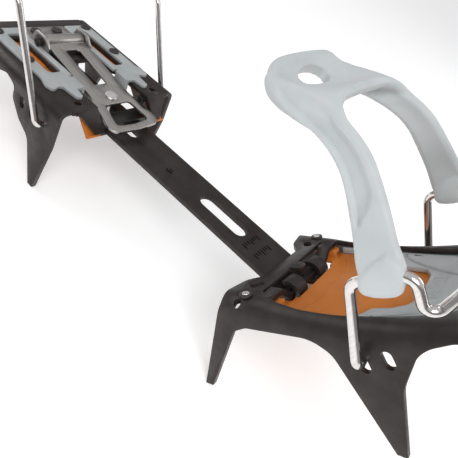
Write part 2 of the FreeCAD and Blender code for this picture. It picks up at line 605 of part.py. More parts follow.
def bar_guide(label, y_back, y_front, low, top, half, post_depth=0.0):
    """Block that the bar slides through; posts carry the front one up to the heel plate."""
    body = new_body(label, HEEL_PLACE)
    outline = mirrored([(0, low), (half, low, 1.5), (half, top), (0, top)])
    block = add_sketch(body, "XZ_Plane", label + "Block", [outline], offset=-y_front)
    pad(body, block, y_front - y_back, both=False)
    if post_depth:
        plate_low = -dim("steel")
        for side in (1, -1):
            post = [(side * u, v) for u, v in ((half, top - 2.0), (19.9, top), (19.9, plate_low), (half, plate_low))]
            face = add_sketch(body, "XZ_Plane", f"{label}Post{side + 1}", [post], offset=-(y_back + post_depth))
            pad(body, face, post_depth, both=False)
    bar_top = -dim("heelRise") - dim("hookInner") + GUIDE_CLEAR
    bar_low = bar_top - dim("barThick") - 2 * GUIDE_CLEAR
    inner_half = dim("barHalf") + GUIDE_CLEAR
    way = mirrored([(0, bar_low), (inner_half, bar_low, 0.3), (inner_half, bar_top, 0.3), (0, bar_top)])
    pocket(body, add_sketch(body, "XZ_Plane", label + "Way", [way]), 300)
    return body


def lever_frame():
    """Placement of the closed lever: origin on its pivot, y towards its tip."""
    y, z = LEVER_PIVOT
    return HEEL_PLACE.multiply(FreeCAD.Placement(V(0, y, z), FreeCAD.Rotation(X_AXIS, -LEVER_DIP)))


def adjustment_lever():
    """Spring-steel strip with a rolled eye at the back, a long slot, and a window near its rounded tip."""
    body = new_body("adjustment_lever", lever_frame())
    thick = dim("leverThick")
    outline = mirrored([(0, 3.0), (12.8, 3.0), (12.8, 46.0, 20), (17.6, 67.0, 4), (16.0, 73.0, 4), (0, 74.4, 20)])
    pad(body, add_sketch(body, "XY_Plane", "LeverStrip", [outline], offset=-thick / 2), "Dimensions.leverThick",
        both=False)
    eye = dim("leverPin") + dim("runningGap") + thick
    pad(body, add_sketch(body, "YZ_Plane", "LeverEye", circles=[(0, 0, eye)]), 25.6)
    bore = add_sketch(body, "YZ_Plane", "LeverBore", circles=[(0, 0, "Dimensions.leverPin + Dimensions.runningGap")])
    pocket(body, bore, 40)
    slot = mirrored([(0, 9.0), (4.6, 9.0, 4), (4.6, 38.6, 2), (0, 38.6)])
    pocket(body, add_sketch(body, "XY_Plane", "LeverSlot", [slot]), 10)
    window = mirrored([(0, 53.4), (8.6, 53.4, 2), (11.8, 69.0, 2.5), (0, 70.0)])
    pocket(body, add_sketch(body, "XY_Plane", "LeverWindowCut", [window]), 10)
    pocket(body, add_sketch(body, "XY_Plane", "LeverRivetHole", circles=[(0, LOCK_ALONG, "Dimensions.lockPin")]), 10)
    return body


def locking_pin():
    """Pin riveted into the lever, its nose standing in the bar's length slot."""
    nose_depth = 13.6
    head = Part.makeCylinder(3.6, 0.9, V(0, LOCK_ALONG, dim("leverThick") / 2))
    head = head.makeFillet(0.5, [head.Edges[0]])
    shank = Part.makeCylinder(dim("lockPin"), nose_depth, V(0, LOCK_ALONG, dim("leverThick") / 2 - nose_depth))
    return solid_feature("locking_pin", head.fuse(shank).removeSplitter(), lever_frame())


def lever_pivot_pin():
    y, z = LEVER_PIVOT
    length = 32.0
    pin = Part.makeCylinder(dim("leverPin"), length, V(-length / 2, y, z), X_AXIS)
    caps = [Part.makeCylinder(2.3, 1.0, V(x, y, z), X_AXIS) for x in (-length / 2 - 1.0, length / 2)]
    return solid_feature("lever_pivot_pin", pin.fuse(caps).removeSplitter(), HEEL_PLACE)


def lever_bracket():
    """Pressed steel bracket on the heel plate, with an ear on each side for the lever's pin."""
    body = new_body("lever_bracket", HEEL_PLACE)
    base = mirrored([(0, 0.0), (14.6, 0.0), (14.6, 9.0, 3), (13.1, 9.0), (13.1, 1.5), (0, 1.5)])
    pad(body, add_sketch(body, "XZ_Plane", "BracketU", [base], offset=50.0), 28.0, both=False)
    ears = [(-80, 1.5), (-67.0, 1.5, 2), (-63.0, 9.0, 3), (-54.0, 9.0, 3), (-48, 1.5), (-48, 20), (-80, 20)]
    pocket(body, add_sketch(body, "YZ_Plane", "BracketEars", [ears]), 60)
    eye_room = mirrored([(0, -62.6), (13.05, -62.6), (13.05, -53.4), (0, -53.4)])
    pocket(body, add_sketch(body, "XY_Plane", "EyeRoom", [eye_room]), 3.2)
    y, z = LEVER_PIVOT
    pocket(body, add_sketch(body, "YZ_Plane", "BracketBore", circles=[(y, z, "Dimensions.leverPin")]), 60)
    holes = [(x, y, 2.0) for x, y in BRACKET_RIVETS]
    pocket(body, add_sketch(body, "XY_Plane", "BracketHoles", circles=holes), 8)
    return body


# ---------------------------------------------------------------- bails and harnesses
def loop_path(half):
    """Whole symmetric path from its +X half, which starts in the middle and ends at the pivot."""
    left = [(-p[0],) + tuple(p[1:]) for p in reversed(half[1:])]
    return left + half[1:]


def front_bail_path():
    """Pivot hole, upright, top run in the harness lug, dip to the rail, then up and round the toe."""
    y, z = WIRE_HOLE
    return loop_path([(0, 128.0, 60.0), (27.0, 128.0, 60.0, 14), (44.6, 88.2, 15.0, 4), (47.2, 85.6, 33.2, 4.5),
                      (47.2, 64.4, 26.0, 4.5), (47.2, y, z, 4), (37.0, y, z)])


def rear_bail_path():
    """Pivot hole, upright that leans back, then level round behind the heel."""
    y, z = REAR_HOLES[0]
    return loop_path([(0, -112.0, 57.0), (30.0, -106.0, 57.0, 18), (44.6, -66.0, 51.0, 18), (44.6, -36.5, 42.0, 12),
                      (45.9, y, z, 3.2), (36.6, y, z)])


def front_bail_wire():
    return solid_feature("front_bail_wire", bent_wire(front_bail_path(), dim("frontWire")), FRONT_PLACE)


def rear_bail_wire():
    return solid_feature("rear_bail_wire", bent_wire(rear_bail_path(), dim("rearWire")), HEEL_PLACE)


# Rear and front edge of the harness leg's middle surface, from the lug upwards.
HARNESS_LEG = [
    ((46.6, 67.4, 22.6), (47.0, 83.6, 26.4)),
    ((46.4, 66.6, 30.5), (47.0, 83.0, 34.5)),
    ((43.6, 65.0, 40.0), (44.8, 80.6, 41.5)),
    ((38.0, 61.6, 54.0), (39.8, 75.6, 53.8)),
    ((34.3, 55.8, 66.2), (35.9, 70.0, 66.2)),
    ((30.8, 46.6, 75.4), (33.0, 62.4, 75.9)),
    ((28.6, 37.0, 82.4), (28.6, 57.4, 82.6)),
]
STRAP_SLOT = (33.2, 90.5)    # middle of the strap slot in the crown, (y, z) in the front frame
STRAP_SLOT_SIZE = (25.0, 10.0)
CROWN_RISE = 54.0            # degrees that the crown rises towards the ankle


def leg_section(rear, front, along, thick):
    """Rectangle about the line from rear to front, square to the leg."""
    rear, front = V(*rear), V(*front)
    normal = (front - rear).cross(along).normalize() * (thick / 2)
    return Part.makePolygon([rear - normal, front - normal, front + normal, rear + normal, rear - normal])


def harness_leg():
    middles = [(V(*rear) + V(*front)) * 0.5 for rear, front in HARNESS_LEG]
    sections = []
    for i, (rear, front) in enumerate(HARNESS_LEG):
        along = middles[min(i + 1, len(middles) - 1)] - middles[max(i - 1, 0)]
        sections.append(leg_section(rear, front, along, dim("strapThick")))
    return Part.makeLoft(sections, True, True)


def front_harness():
    """Moulded arch over the instep: two legs with wire lugs, a web, and a steep crown with the strap slot."""
    leg = harness_leg()
    lug_length, lug_radius = 17.6, 4.4
    run = V(0, 21.2, 7.2).normalize()
    lug = Part.makeCylinder(lug_radius, lug_length, V(47.0, 75.0, 29.6) - run * (lug_length / 2), run)
    half_crown = 27.5
    profile = [(57.0, 86.2), (39.0, 87.6), (32.6, 95.6), (32.6, 101.5), (28.2, 101.5), (27.4, 95.4), (36.4, 83.2),
               (57.0, 81.8)]
    points = [V(-half_crown, y, z) for y, z in profile]
    crown = Part.Face(Part.makePolygon(points + [points[0]])).extrude(V(2 * half_crown, 0, 0))
    width, height = STRAP_SLOT_SIZE
    slot = Part.makeBox(width, height, 30.0, V(-width / 2, -height / 2, -15.0))
    slot.Placement = FreeCAD.Placement(V(0, *STRAP_SLOT), FreeCAD.Rotation(X_AXIS, -CROWN_RISE))
    shape = crown.cut(slot).fuse([leg, mirror_x(leg), lug, mirror_x(lug)])
    shape = shape.cut(bent_wire(front_bail_path(), dim("frontWire") + dim("runningGap")))
    return solid_feature("front_harness", shape.removeSplitter(), FRONT_PLACE)


def rear_harness():
    """Moulded band behind the heel, hung on the rear bail, with a slot at each end for the ankle strap."""
    band_width, band_thick = 24.0, 6.0
    path = loop_path([(0, -112.0, 66.0), (30.0, -106.0, 66.0, 18), (42.0, -73.2, 64.6)])

    def upright(start, direction):
        side = V(0, 0, 1)
        side = (side - direction * side.dot(direction)).normalize()
        normal = direction.cross(side)
        corners = [start + side * (a * band_width / 2) + normal * (b * band_thick / 2)
                   for a, b in ((1, 1), (-1, 1), (-1, -1), (1, -1))]
        return Part.makePolygon(corners + [corners[0]])
    band = swept(path, upright)
    slot = Part.makeBox(120.0, 6.5, 16.0, V(-60.0, -84.0, 58.5))
    band = band.cut(slot).cut(bent_wire(rear_bail_path(), dim("rearWire") + dim("runningGap")))
    return solid_feature("rear_harness", band, HEEL_PLACE)


# ---------------------------------------------------------------- assembly
front_frame()
front_antiball_tray()
front_antiball_frame()
group_of_rivets("front_rear_rivets", [(RIVET_AT[0], RIVET_AT[1]), (-RIVET_AT[0], RIVET_AT[1])],
                dim("frontTop"), EAR_TOP - dim("padThick"), FRONT_PLACE)
linking_bar()
heel_frame()
heel_antiball_tray()
heel_antiball_frame()
group_of_rivets("heel_rivets", HEEL_RIVETS, dim("padThick"), -dim("steel") - dim("padThick"), HEEL_PLACE)
group_of_rivets("bracket_rivets", BRACKET_RIVETS, 1.5, -dim("steel") - dim("padThick"), HEEL_PLACE)
bar_guide("bar_guide_front", -6.6, 3.4, -17.4, -11.4, 17.0, post_depth=3.8)
bar_guide("bar_guide_rear", -69.5, -60.5, -18.0, -dim("steel") - dim("padThick"), 16.5)
lever_bracket()
adjustment_lever()
locking_pin()
lever_pivot_pin()
front_bail_wire()
front_harness()
rear_bail_wire()
rear_harness()
doc.recompute()
for item in doc.Objects:
    if "Invalid" in item.State or "Error" in item.State:
        raise SystemExit(f"{item.Name} failed: {item.State}")
for node in made:
    shape = node.Shape
    if shape.isNull() or not shape.isValid():
        raise SystemExit(f"{node.Label} has no valid shape")
    box = shape.BoundBox
    print(node.Label, f"{shape.Volume:.0f} mm3", len(shape.Solids), "solids",
          [round(v, 1) for v in (box.XMin, box.YMin, box.ZMin, box.XMax, box.YMax, box.ZMax)])
    shape.exportStep(f"parts/{node.Label}.step")
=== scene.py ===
"""Looks of one strap-on crampon: two stamped steel sections, a length bar and two harness bails.

Lengths are in millimetres until a section's matrix turns them into metres of the row frame.
"""
import json
import math

import bmesh
import bpy
from mathutils import Matrix, Vector


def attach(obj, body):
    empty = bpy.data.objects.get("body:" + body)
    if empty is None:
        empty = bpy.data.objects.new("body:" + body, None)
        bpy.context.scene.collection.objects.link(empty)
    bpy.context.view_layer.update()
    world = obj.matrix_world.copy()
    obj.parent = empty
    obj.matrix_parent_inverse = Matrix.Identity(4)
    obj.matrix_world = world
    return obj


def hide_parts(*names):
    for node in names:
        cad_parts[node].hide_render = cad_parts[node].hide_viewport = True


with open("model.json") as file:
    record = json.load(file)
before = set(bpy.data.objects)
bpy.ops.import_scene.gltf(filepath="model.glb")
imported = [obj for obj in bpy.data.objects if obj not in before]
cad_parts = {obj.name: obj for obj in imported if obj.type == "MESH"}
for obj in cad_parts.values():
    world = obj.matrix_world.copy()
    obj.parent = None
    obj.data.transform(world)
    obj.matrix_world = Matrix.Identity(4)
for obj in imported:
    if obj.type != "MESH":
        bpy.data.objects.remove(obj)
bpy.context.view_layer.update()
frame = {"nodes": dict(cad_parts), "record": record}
nodes = frame["nodes"]
scene = bpy.context.scene

# ---------------------------------------------------------------- the sections' own frames
HOOK = (0.0, 68.85, 55.68)        # hook axis in the row frame
STANCE_TILT = 3.56                # degrees that the heel and the bar pitch
FRONT_PITCH = 41.86               # degrees that the front section pitches
MM = Matrix.Scale(0.001, 4)


def section_frame(pitch, axis):
    """Matrix from a section's own millimetres to the row frame; axis is the hook axis in that section."""
    turn = Matrix.Rotation(math.radians(pitch), 4, "X")
    return MM @ Matrix.Translation(HOOK) @ turn @ Matrix.Translation([-v for v in axis])


FRONT = section_frame(FRONT_PITCH, (0.0, 18.5, -4.0))
HEEL = section_frame(STANCE_TILT, (0.0, 139.1, -9.5))
BAR = section_frame(STANCE_TILT, (0.0, 0.0, 0.0))

FRONT_TOP = 3.5                   # top skin of the front section at its rear cross-member
TRAY_TOP = -2.9                   # top of the orange plate there
PLATE_TOP = -0.4                  # top of the grey plate there
DIP_RADIUS, DIP_RUN = 120.0, 9.0  # the two curves of the dip behind the rocker
ROCKER_START, ROCKER_RADIUS = 32.0, 250.0


def rocker_rise(y):
    """How far the front section has risen at y, compared with its rear cross-member."""
    into_dip = min(max(y - (ROCKER_START - 2 * DIP_RUN), 0.0), 2 * DIP_RUN)
    if into_dip < DIP_RUN:
        drop = into_dip ** 2 / (2 * DIP_RADIUS)
    else:
        drop = (DIP_RUN ** 2 - (2 * DIP_RUN - into_dip) ** 2 / 2) / DIP_RADIUS
    return max(0.0, y - ROCKER_START) ** 2 / (2 * ROCKER_RADIUS) - drop


# ---------------------------------------------------------------- materials
class Finish:
    """A material and short ways to wire its nodes."""

    def __init__(self, name, **shader):
        self.material = bpy.data.materials.new(name)
        self.material.use_nodes = True
        self.tree = self.material.node_tree
        self.shader = self.tree.nodes["Principled BSDF"]
        for socket, value in shader.items():
            self.shader.inputs[socket.replace("_", " ")].default_value = value
        self.place = self.node("ShaderNodeTexCoord").outputs["Object"]

    def node(self, kind, **inputs):
        made = self.tree.nodes.new(kind)
        for socket, value in inputs.items():
            target = made.inputs[socket.replace("_", " ")]
            if isinstance(value, bpy.types.NodeSocket):
                self.tree.links.new(value, target)
            else:
                target.default_value = value
        return made

    def stretched(self, scale, pitch=0.0):
        """Object coordinates scaled per axis, after undoing a pitch about X."""
        mapping = self.node("ShaderNodeMapping", Vector=self.place, Scale=scale)
        mapping.inputs["Rotation"].default_value = (math.radians(-pitch), 0.0, 0.0)
        return mapping.outputs["Vector"]

    def noise(self, scale, detail=3.0, vector=None, roughness=0.55):
        """Noise with features of about 1/scale metres."""
        made = self.node("ShaderNodeTexNoise", Vector=vector or self.place, Scale=scale, Detail=detail)
        made.inputs["Roughness"].default_value = roughness
        return made.outputs["Fac"]

    def remap(self, value, low, high, to_low, to_high):
        made = self.node("ShaderNodeMapRange", Value=value)
        limits = {"From Min": low, "From Max": high, "To Min": to_low, "To Max": to_high}
        for socket, number in limits.items():
            made.inputs[socket].default_value = number
        return made.outputs["Result"]

    def mix(self, factor, first, second):
        """Colour between first and second, each a colour or a socket."""
        made = self.tree.nodes.new("ShaderNodeMix")
        made.data_type = "RGBA"
        self.tree.links.new(factor, made.inputs["Factor"])
        for socket, value in ((made.inputs[6], first), (made.inputs[7], second)):
            if isinstance(value, bpy.types.NodeSocket):
                self.tree.links.new(value, socket)
            else:
                socket.default_value = (*value, 1.0)
        return made.outputs[2]

    def edges(self, radius, low, high):
        """1 on sharp edges and 0 on flats."""
        bevel = self.tree.nodes.new("ShaderNodeBevel")
        bevel.samples = 4
        bevel.inputs["Radius"].default_value = radius
        dot = self.tree.nodes.new("ShaderNodeVectorMath")
        dot.operation = "DOT_PRODUCT"
        self.tree.links.new(bevel.outputs["Normal"], dot.inputs[0])
        self.tree.links.new(self.node("ShaderNodeNewGeometry").outputs["Normal"], dot.inputs[1])
        return self.remap(dot.outputs["Value"], high, low, 0.0, 1.0)

    def bump(self, height, strength, distance):
        made = self.node("ShaderNodeBump", Height=height, Strength=strength, Distance=distance)
        self.tree.links.new(made.outputs["Normal"], self.shader.inputs["Normal"])

    def colour(self, socket):
        self.tree.links.new(socket, self.shader.inputs["Base Color"])

    def rough(self, socket):
        self.tree.links.new(socket, self.shader.inputs["Roughness"])

    def times(self, first, second):
        made = self.tree.nodes.new("ShaderNodeMath")
        made.operation = "MULTIPLY"
        self.tree.links.new(first, made.inputs[0])
        self.tree.links.new(second, made.inputs[1])
        return made.outputs[0]


def coated_steel(name, dark, light, worn):
    """Satin burnished coat over steel: mottled, and a little paler where edges are rubbed."""
    finish = Finish(name, Metallic=0.55, Specular_IOR_Level=0.45)
    mottle = finish.noise(90.0, 5.0)
    grain = finish.noise(1500.0, 2.0)
    base = finish.mix(finish.remap(mottle, 0.3, 0.7, 0.0, 1.0), dark, light)
    patches = finish.remap(finish.noise(260.0, 4.0), 0.42, 0.62, 0.15, 0.9)
    rub = finish.times(finish.edges(0.0007, 0.6, 0.97), patches)
    finish.colour(finish.mix(rub, base, worn))
    finish.rough(finish.remap(finish.noise(320.0, 4.0), 0.3, 0.7, 0.36, 0.5))
    finish.bump(grain, 0.12, 0.00005)
    return finish.material


def moulded_plastic(name, dark, light, rough, scatter):
    """Injection-moulded plastic with a fine spark-eroded grain and scuffed edges."""
    finish = Finish(name, Subsurface_Weight=scatter, Subsurface_Scale=0.002, Specular_IOR_Level=0.4)
    cloud = finish.noise(45.0, 3.0)
    pale = tuple(0.6 * v + 0.4 * 0.8 for v in light)
    base = finish.mix(finish.remap(cloud, 0.35, 0.65, 0.0, 1.0), dark, light)
    finish.colour(finish.mix(finish.remap(finish.edges(0.0005, 0.6, 0.98), 0.0, 1.0, 0.0, 0.35), base, pale))
    finish.rough(finish.remap(finish.noise(500.0, 3.0), 0.3, 0.7, rough - 0.07, rough + 0.07))
    finish.bump(finish.noise(2600.0, 1.0), 0.25, 0.00006)
    return finish.material


def bright_steel(name, dark, light, rough, stretch, pitch, groove):
    """Bare stainless: fine marks drawn out along one axis."""
    finish = Finish(name, Metallic=1.0)
    streak = finish.noise(1.0, 4.0, finish.stretched(stretch, pitch), 0.7)
    finish.colour(finish.mix(finish.remap(streak, 0.3, 0.7, 0.0, 1.0), dark, light))
    finish.rough(finish.remap(streak, 0.3, 0.7, rough * 0.8, rough * 1.3))
    finish.bump(streak, groove, 0.00004)
    return finish.material


def soft_tpu(name, dark, light):
    """Satin elastomer: soft sheen, slight clouding and a fine moulded skin."""
    finish = Finish(name, Subsurface_Weight=0.12, Subsurface_Scale=0.003, Sheen_Weight=0.15,
                    Specular_IOR_Level=0.35)
    cloud = finish.noise(30.0, 4.0)
    finish.colour(finish.mix(finish.remap(cloud, 0.35, 0.65, 0.0, 1.0), dark, light))
    finish.rough(finish.remap(finish.noise(700.0, 3.0), 0.3, 0.7, 0.42, 0.56))
    finish.bump(finish.noise(3000.0, 1.0), 0.2, 0.00005)
    return finish.material


FINISHES = {
    "dark_steel": coated_steel("coat", (0.030, 0.024, 0.022), (0.048, 0.040, 0.037), (0.20, 0.19, 0.18)),
    "orange_plastic": moulded_plastic("orange_moulding", (0.56, 0.165, 0.022), (0.64, 0.205, 0.032),
                                      0.38, 0.08),
    "grey_plastic": moulded_plastic("grey_moulding", (0.38, 0.40, 0.405), (0.45, 0.47, 0.475), 0.42, 0.05),
    "black_plastic": moulded_plastic("black_moulding", (0.012, 0.012, 0.012), (0.022, 0.021, 0.020),
                                     0.45, 0.0),
    "rivet_steel": coated_steel("rivet_coat", (0.040, 0.034, 0.032), (0.070, 0.060, 0.056),
                                (0.35, 0.34, 0.33)),
    "lever_steel": bright_steel("brushed", (0.36, 0.34, 0.325), (0.50, 0.48, 0.46), 0.30,
                                (2600.0, 60.0, 60.0), -5.9, 0.5),
    "wire_steel": bright_steel("drawn_wire", (0.62, 0.59, 0.57), (0.78, 0.75, 0.73), 0.10,
                               (900.0, 900.0, 90.0), 0.0, 0.08),
    "harness_tpu": soft_tpu("harness_skin", (0.50, 0.535, 0.545), (0.58, 0.615, 0.625)),
}
BARE_STEEL = bright_steel("bare_rivet", (0.62, 0.61, 0.60), (0.85, 0.84, 0.83), 0.22,
                          (400.0, 400.0, 400.0), 0.0, 0.2)
# Near-black matt finish for the bar's stamped marks: painted shade standing in for the shade inside the
# stamped grooves.
STAMP_GROOVE_SHADE = Finish("stamped_mark_painted_shade", Roughness=0.9, Specular_IOR_Level=0.1,
               Base_Color=(0.006, 0.006, 0.006, 1.0)).material

EDGE_ROUND = {"dark_steel": 0.00035, "lever_steel": 0.00025, "black_plastic": 0.0003, "grey_plastic": 0.00045,
              "orange_plastic": 0.00035, "rivet_steel": 0.00015}


def dress_cad():
    """Gives every CAD node its finish and softly broken edges."""
    for part in frame["record"]["subparts"]:
        slot = part["material_slot"]
        piece = nodes[part["node"]]
        piece.data.materials.clear()
        piece.data.materials.append(BARE_STEEL if part["node"] == "locking_pin" else FINISHES[slot])
        weld = piece.modifiers.new("weld", "WELD")
        weld.merge_threshold = 0.000002
        radius = EDGE_ROUND.get(slot)
        if radius:
            bevel = piece.modifiers.new("edges", "BEVEL")
            bevel.width = radius
            bevel.segments = 2
            bevel.limit_method = "ANGLE"
            bevel.angle_limit = math.radians(35.0)
            bevel.harden_normals = True
        piece.data.shade_smooth()


dress_cad()

# ---------------------------------------------------------------- mesh helpers
def piece_from(name, points, faces, body, slot, finish=None):
    """A new piece in the row frame, riding on a body and finished like a material slot."""
    mesh = bpy.data.meshes.new(name)
    mesh.from_pydata(points, [], faces)
    mesh.update()
    made = bpy.data.objects.new(name, mesh)
    scene.collection.objects.link(made)
    made.data.materials.append(finish or FINISHES[slot])
    mesh.shade_smooth()
    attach(made, body)
    return made


def evaluated(made):
    """Applies a piece's modifiers to its own mesh."""
    graph = bpy.context.evaluated_depsgraph_get()
    mesh = bpy.data.meshes.new_from_object(made.evaluated_get(graph))
    made.modifiers.clear()
    made.data = mesh
    return made


def curve_point(points, s):
    """Catmull-Rom point at s, counted in control points."""
    last = len(points) - 1
    i = min(int(s), last - 1)
    t = s - i
    a, b, c, d = (points[max(i - 1, 0)], points[i], points[i + 1], points[min(i + 2, last)])
    square = 2 * a - 5 * b + 4 * c - d
    cube = 3 * b - a - 3 * c + d
    return 0.5 * (2 * b + (c - a) * t + square * t * t + cube * t ** 3)


def refined(points, steps):
    last = len(points) - 1
    return [curve_point(points, last * k / steps) for k in range(steps + 1)]


THIN_EDGE = 0.12                  # thickness left on the very edge, as a share


def thick_sheet(rows, thick, dent):
    """Closed solid about a grid of middle points, with rounded edges and ends.

    dent(i, j) is how far the outer face sinks at row i, column j.
    """
    count, width = len(rows), len(rows[0])
    points = []
    for i, row in enumerate(rows):
        end_row = rows[0] if i < count / 2 else rows[-1]
        for j, here in enumerate(row):
            along = rows[min(i + 1, count - 1)][j] - rows[max(i - 1, 0)][j]
            across = row[min(j + 1, width - 1)] - row[max(j - 1, 0)]
            normal = across.cross(along).normalized()
            near_edge = min((here - row[0]).length, (here - row[-1]).length, thick / 2)
            near_end = (here - end_row[j]).length
            reach = min(near_edge, near_end, thick / 2) / (thick / 2)
            half = thick / 2 * max(THIN_EDGE, math.sqrt(1.0 - (1.0 - reach) ** 2))
            points.append(here + normal * (half - dent(i, j)))
            points.append(here - normal * half)
    faces = []

    def at(i, j, side):
        return 2 * (i * width + j) + side

    for i in range(count - 1):
        for j in range(width - 1):
            faces.append((at(i, j, 0), at(i, j + 1, 0), at(i + 1, j + 1, 0), at(i + 1, j, 0)))
            faces.append((at(i, j, 1), at(i + 1, j, 1), at(i + 1, j + 1, 1), at(i, j + 1, 1)))
    for j in range(width - 1):
        faces.append((at(0, j, 0), at(0, j, 1), at(0, j + 1, 1), at(0, j + 1, 0)))
        i = count - 1
        faces.append((at(i, j, 0), at(i, j + 1, 0), at(i, j + 1, 1), at(i, j, 1)))
    for i in range(count - 1):
        faces.append((at(i, 0, 0), at(i + 1, 0, 0), at(i + 1, 0, 1), at(i, 0, 1)))
        j = width - 1
        faces.append((at(i, j, 0), at(i, j, 1), at(i + 1, j, 1), at(i + 1, j, 0)))
    return points, faces


def loft(rings):
    """Closed solid through rings of equal length."""
    size = len(rings[0])
    points = [p for ring in rings for p in ring]
    faces = [tuple(reversed(range(size))), tuple(range((len(rings) - 1) * size, len(rings) * size))]
    for i in range(len(rings) - 1):
        for j in range(size):
            k = (j + 1) % size
            faces.append((i * size + j, i * size + k, (i + 1) * size + k, (i + 1) * size + j))
    return points, faces


def outward(made):
    """Makes a closed mesh's faces point outward."""
    mesh = bmesh.new()
    mesh.from_mesh(made.data)
    bmesh.ops.recalc_face_normals(mesh, faces=mesh.faces)
    mesh.to_mesh(made.data)
    mesh.free()


def moulded(made, others, cutters, voxel, smoothing):
    """Joins overlapping closed shells into one moulded skin with soft corners, after cutting."""
    outward(made)
    for cutter in cutters:
        outward(cutter)
        cut = made.modifiers.new("cut", "BOOLEAN")
        cut.operation = "DIFFERENCE"
        cut.solver = "EXACT"
        cut.object = cutter
    evaluated(made)
    for cutter in cutters:
        bpy.data.objects.remove(cutter)
    merged = bmesh.new()
    merged.from_mesh(made.data)
    for points, faces in others:
        shell = bpy.data.meshes.new("shell")
        shell.from_pydata(points, [], faces)
        merged.from_mesh(shell)
        bpy.data.meshes.remove(shell)
    bmesh.ops.recalc_face_normals(merged, faces=merged.faces)
    merged.to_mesh(made.data)
    merged.free()
    skin = made.modifiers.new("skin", "REMESH")
    skin.mode = "VOXEL"
    skin.voxel_size = voxel
    skin.use_smooth_shade = True
    soft = made.modifiers.new("soft", "SMOOTH")
    soft.factor = 0.5
    soft.iterations = smoothing
    evaluated(made)
    made.data.shade_smooth()
    return made


def cutter_from(points, faces):
    """A throwaway solid that moulded() cuts with and then removes."""
    mesh = bpy.data.meshes.new("cutter")
    mesh.from_pydata(points, [], faces)
    made = bpy.data.objects.new("cutter", mesh)
    scene.collection.objects.link(made)
    return made


def mirrored_rows(half):
    """Rows from one side over the middle to the other; the last row of half is in the middle plane."""
    other = [[Vector((-p.x, p.y, p.z)) for p in row] for row in reversed(half[:-1])]
    return half + other


def soft_step(value, low, high):
    t = max(0.0, min(1.0, (value - low) / (high - low)))
    return t * t * (3.0 - 2.0 * t)


# ---------------------------------------------------------------- front harness
LEG_EDGES = [     # rear and front edge of the leg, from the lug up, in the front frame
    ((46.8, 69.4, 24.4), (46.8, 80.6, 26.6)), ((46.6, 67.6, 28.0), (47.0, 82.6, 31.4)),
    ((45.9, 66.2, 33.0), (46.5, 82.7, 35.6)), ((43.6, 65.0, 40.0), (44.9, 80.3, 41.3)),
    ((40.6, 63.4, 47.3), (42.2, 78.0, 47.2)), ((38.0, 61.7, 53.8), (40.0, 75.7, 53.4)),
    ((36.0, 59.4, 60.5), (37.9, 73.1, 59.9)), ((34.3, 55.9, 66.3), (35.9, 70.2, 66.0)),
    ((32.5, 51.4, 71.2), (34.3, 66.2, 71.7)), ((30.8, 46.4, 75.3), (33.0, 62.3, 76.0)),
]
CROWN = [         # seven points from rear to front edge for each row, from the leg to the middle
    [(29.2, 39.9, 79.8), (31.4, 43.6, 80.0), (32.6, 47.6, 80.2), (33.0, 51.4, 80.2), (32.4, 54.4, 79.9),
     (31.4, 57.2, 79.4), (30.4, 59.2, 78.8)],
    [(28.4, 34.0, 83.6), (30.6, 38.4, 83.6), (31.8, 43.0, 83.6), (31.8, 47.5, 83.3), (30.8, 51.0, 82.7),
     (29.2, 54.6, 81.8), (27.4, 57.4, 80.9)],
    [(28.0, 30.4, 88.2), (30.4, 34.4, 87.4), (31.2, 39.0, 87.0), (30.6, 43.8, 86.2), (28.6, 48.0, 85.2),
     (26.4, 52.4, 83.7), (24.4, 56.7, 82.0)],
    [(27.6, 29.8, 92.8), (29.4, 32.2, 91.2), (29.9, 36.0, 90.0), (28.8, 40.0, 88.4), (26.4, 44.6, 86.6),
     (24.0, 50.0, 84.8), (22.0, 56.2, 83.0)],
    [(25.8, 30.4, 96.6), (26.6, 31.0, 93.4), (26.4, 33.6, 91.0), (25.0, 37.0, 88.4), (23.0, 41.6, 86.2),
     (21.0, 48.4, 84.6), (19.5, 56.0, 83.6)],
    [(20.5, 30.6, 99.4), (21.0, 30.2, 94.6), (21.0, 32.0, 90.6), (20.5, 35.4, 87.2), (19.0, 40.4, 85.0),
     (17.5, 47.8, 84.2), (15.5, 55.4, 83.8)],
    [(11.0, 30.6, 100.2), (11.0, 29.8, 95.2), (11.0, 31.2, 90.8), (11.0, 34.6, 86.8), (11.0, 39.4, 84.6),
     (10.6, 47.0, 84.1), (10.0, 54.9, 84.0)],
    [(0.0, 30.6, 100.4), (0.0, 29.8, 95.4), (0.0, 31.2, 91.0), (0.0, 34.6, 86.8), (0.0, 39.4, 84.6),
     (0.0, 47.0, 84.1), (0.0, 54.6, 84.1)],
]
HARNESS_THICK = 4.8
LEG_STEPS, ACROSS_STEPS = 96, 34
LEG_BULGE = 0.9                   # how far the middle of a leg stands proud of its two edges
LUG_STEP = 1.0                    # how far the leg's face sinks where it leaves the lug
CHANNEL_DEEP = 2.1


def front_harness_rows():
    """Half of the harness's middle surface: rows from the lug to the middle plane."""
    rows = []
    for rear, front in LEG_EDGES:
        rear, front = Vector(rear), Vector(front)
        bulge = [Vector((LEG_BULGE * math.sin(math.pi * j / 6), 0, 0)) for j in range(7)]
        rows.append([rear.lerp(front, j / 6) + bulge[j] for j in range(7)])
    rows += [[Vector(p) for p in row] for row in CROWN]
    columns = [refined([row[j] for row in rows], LEG_STEPS) for j in range(7)]
    return [refined([column[i] for column in columns], ACROSS_STEPS) for i in range(LEG_STEPS + 1)]


